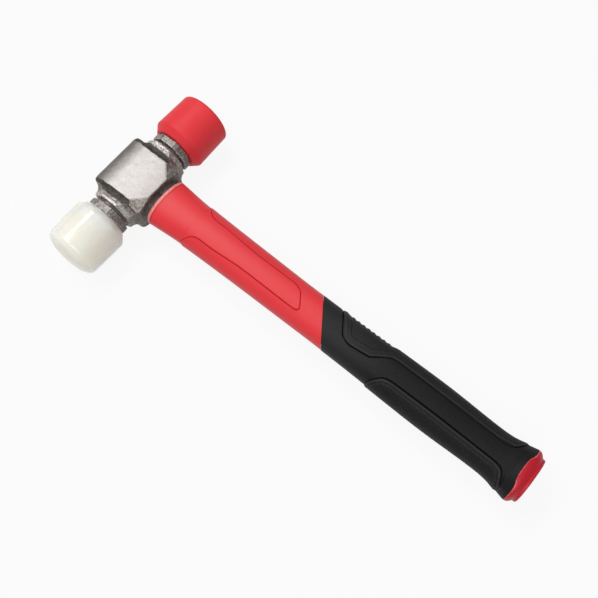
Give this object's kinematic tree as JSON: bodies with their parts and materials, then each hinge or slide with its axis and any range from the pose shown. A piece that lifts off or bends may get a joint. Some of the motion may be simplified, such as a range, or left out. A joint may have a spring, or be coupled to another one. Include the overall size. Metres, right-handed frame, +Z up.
{
  "type": "soft face hammer",
  "caption": "Soft face hammer with a forged steel head, a nylon and a urethane screw-in face, a red jacketed fibreglass handle and a black rubber grip.",
  "frame": {"origin": "on the floor, under the middle of the hammer's box, with the hammer lying on its side", "axes": "+X along the head from the nylon face to the urethane face, +Y along the handle towards the head, +Z up out of the upper cheek"},
  "size_m": [0.1222, 0.2934, 0.035],
  "materials": {
    "head_steel": "satin forged steel, ground bright on the cheeks",
    "nylon": "turned ivory nylon, slightly glossy",
    "stud_steel": "plain threaded steel",
    "urethane": "matte cast urethane",
    "fibreglass": "raw pultruded rod",
    "epoxy": "cast resin",
    "jacket_plastic": "satin moulded plastic",
    "grip_rubber": "soft matte rubber, finely grained on the pads",
    "cap_plastic": "satin moulded plastic"
  },
  "bodies": {
    "hammer": {"head": "head_steel", "shaft_core": "fibreglass", "eye_epoxy": "epoxy", "shaft_jacket": "jacket_plastic", "grip": "grip_rubber", "butt_cap": "cap_plastic"},
    "nylon_stud": {"nylon_face_stud": "stud_steel"},
    "nylon_tip": {"nylon_face": "nylon"},
    "urethane_stud": {"urethane_face_stud": "stud_steel"},
    "urethane_tip": {"urethane_face": "urethane"}
  },
  "joints": [
    {"name": "nylon_advance", "type": "slide", "parent": "hammer", "child": "nylon_stud", "axis": [-1, 0, 0], "range_m": [0, 0.0141]},
    {"name": "nylon_turn", "type": "hinge", "parent": "nylon_stud", "child": "nylon_tip", "pos_m": [-0.02895, 0.12923, 0.0175], "axis": [-1, 0, 0], "range_deg": [0, 2880]},
    {"name": "urethane_advance", "type": "slide", "parent": "hammer", "child": "urethane_stud", "axis": [1, 0, 0], "range_m": [0, 0.0141]},
    {"name": "urethane_turn", "type": "hinge", "parent": "urethane_stud", "child": "urethane_tip", "pos_m": [0.03125, 0.12923, 0.0175], "axis": [1, 0, 0], "range_deg": [0, 2880]}
  ],
  "couplings": [
    {"joint": "nylon_advance", "follows": "nylon_turn", "m_per_rad": 0.00027852},
    {"joint": "urethane_advance", "follows": "urethane_turn", "m_per_rad": 0.00027852}
  ]
}
